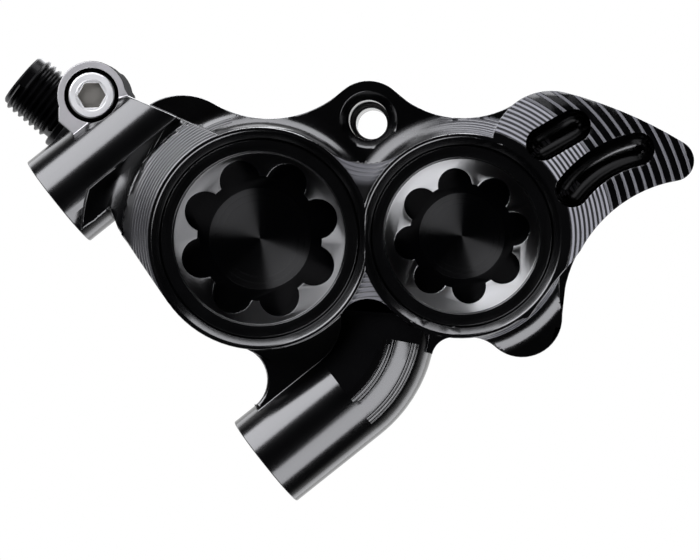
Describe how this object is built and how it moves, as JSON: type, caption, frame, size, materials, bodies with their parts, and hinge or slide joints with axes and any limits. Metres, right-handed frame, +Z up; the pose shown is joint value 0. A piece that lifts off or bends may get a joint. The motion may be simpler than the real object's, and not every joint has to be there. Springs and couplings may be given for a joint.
{
  "type": "bicycle disc brake caliper",
  "caption": "Hydraulic disc brake caliper for a bicycle: milled block on flat-mount posts, opposed pistons under lobed screw-in caps, brake pads, bleed screw and hose connector.",
  "frame": {"origin": "midway between the two mounting bolt axes, on the mounting face of the posts", "axes": "+X along the line of the two bolts, from the hose end to the tail end; +Y inboard, towards the wheel, along the pistons; +Z up off the mounting face"},
  "size_m": [0.0563, 0.0346, 0.0539],
  "materials": {
    "body": "black anodised, satin to glossy, with milled steps",
    "cap": "black anodised, turned",
    "rubber": "smooth black rubber",
    "piston": "hard anodised, ground",
    "insert": "phenolic, matte",
    "plate": "stamped steel",
    "lining": "sintered lining, matte and grainy",
    "spring": "spring steel sheet",
    "bleed_screw": "bright turned steel",
    "connector": "black anodised thread",
    "washer": "black anodised"
  },
  "bodies": {
    "caliper": {"caliper_body": "body", "large_bore_cap": "cap", "small_bore_cap": "cap", "large_cap_ring": "rubber", "small_cap_ring": "rubber", "outer_large_seal": "rubber", "outer_small_seal": "rubber", "inner_large_seal": "rubber", "inner_small_seal": "rubber", "pad_spring": "spring", "hose_connector": "connector", "connector_washer": "washer", "gallery_plug": "cap"},
    "outer_large_piston": {"outer_large_piston": "piston", "outer_large_insert": "insert"},
    "outer_small_piston": {"outer_small_piston": "piston", "outer_small_insert": "insert"},
    "outer_pad": {"outer_pad_plate": "plate", "outer_pad_lining": "lining"},
    "inner_large_piston": {"inner_large_piston": "piston", "inner_large_insert": "insert"},
    "inner_small_piston": {"inner_small_piston": "piston", "inner_small_insert": "insert"},
    "inner_pad": {"inner_pad_plate": "plate", "inner_pad_lining": "lining"},
    "bleed_ring": {"bleed_screw_ring": "rubber"},
    "bleed_screw": {"bleed_screw": "bleed_screw"}
  },
  "joints": [
    {"name": "outer_large_piston_slide", "type": "slide", "parent": "caliper", "child": "outer_large_piston", "axis": [0, 1, 0], "range_m": [0, 0.0011]},
    {"name": "outer_small_piston_slide", "type": "slide", "parent": "caliper", "child": "outer_small_piston", "axis": [0, 1, 0], "range_m": [0, 0.0011]},
    {"name": "outer_pad_slide", "type": "slide", "parent": "caliper", "child": "outer_pad", "axis": [0, 1, 0], "range_m": [0, 0.0011], "deforming": ["pad_spring"]},
    {"name": "inner_large_piston_slide", "type": "slide", "parent": "caliper", "child": "inner_large_piston", "axis": [0, -1, 0], "range_m": [0, 0.0011]},
    {"name": "inner_small_piston_slide", "type": "slide", "parent": "caliper", "child": "inner_small_piston", "axis": [0, -1, 0], "range_m": [0, 0.0011]},
    {"name": "inner_pad_slide", "type": "slide", "parent": "caliper", "child": "inner_pad", "axis": [0, -1, 0], "range_m": [0, 0.0011]},
    {"name": "bleed_lift", "type": "slide", "parent": "caliper", "child": "bleed_ring", "axis": [0, -1, 0], "range_m": [0, 0.0007]},
    {"name": "bleed_turn", "type": "hinge", "parent": "bleed_ring", "child": "bleed_screw", "pos_m": [-0.02321, 0, 0.00954], "axis": [0, -1, 0], "range_deg": [0, 372]}
  ],
  "couplings": [
    {"joint": "outer_small_piston_slide", "follows": "outer_large_piston_slide", "ratio": 1},
    {"joint": "outer_pad_slide", "follows": "outer_large_piston_slide", "ratio": 1},
    {"joint": "inner_large_piston_slide", "follows": "outer_large_piston_slide", "ratio": 1},
    {"joint": "inner_small_piston_slide", "follows": "outer_large_piston_slide", "ratio": 1},
    {"joint": "inner_pad_slide", "follows": "outer_large_piston_slide", "ratio": 1},
    {"joint": "bleed_turn", "follows": "bleed_lift", "rad_per_m": 8976}
  ]
}
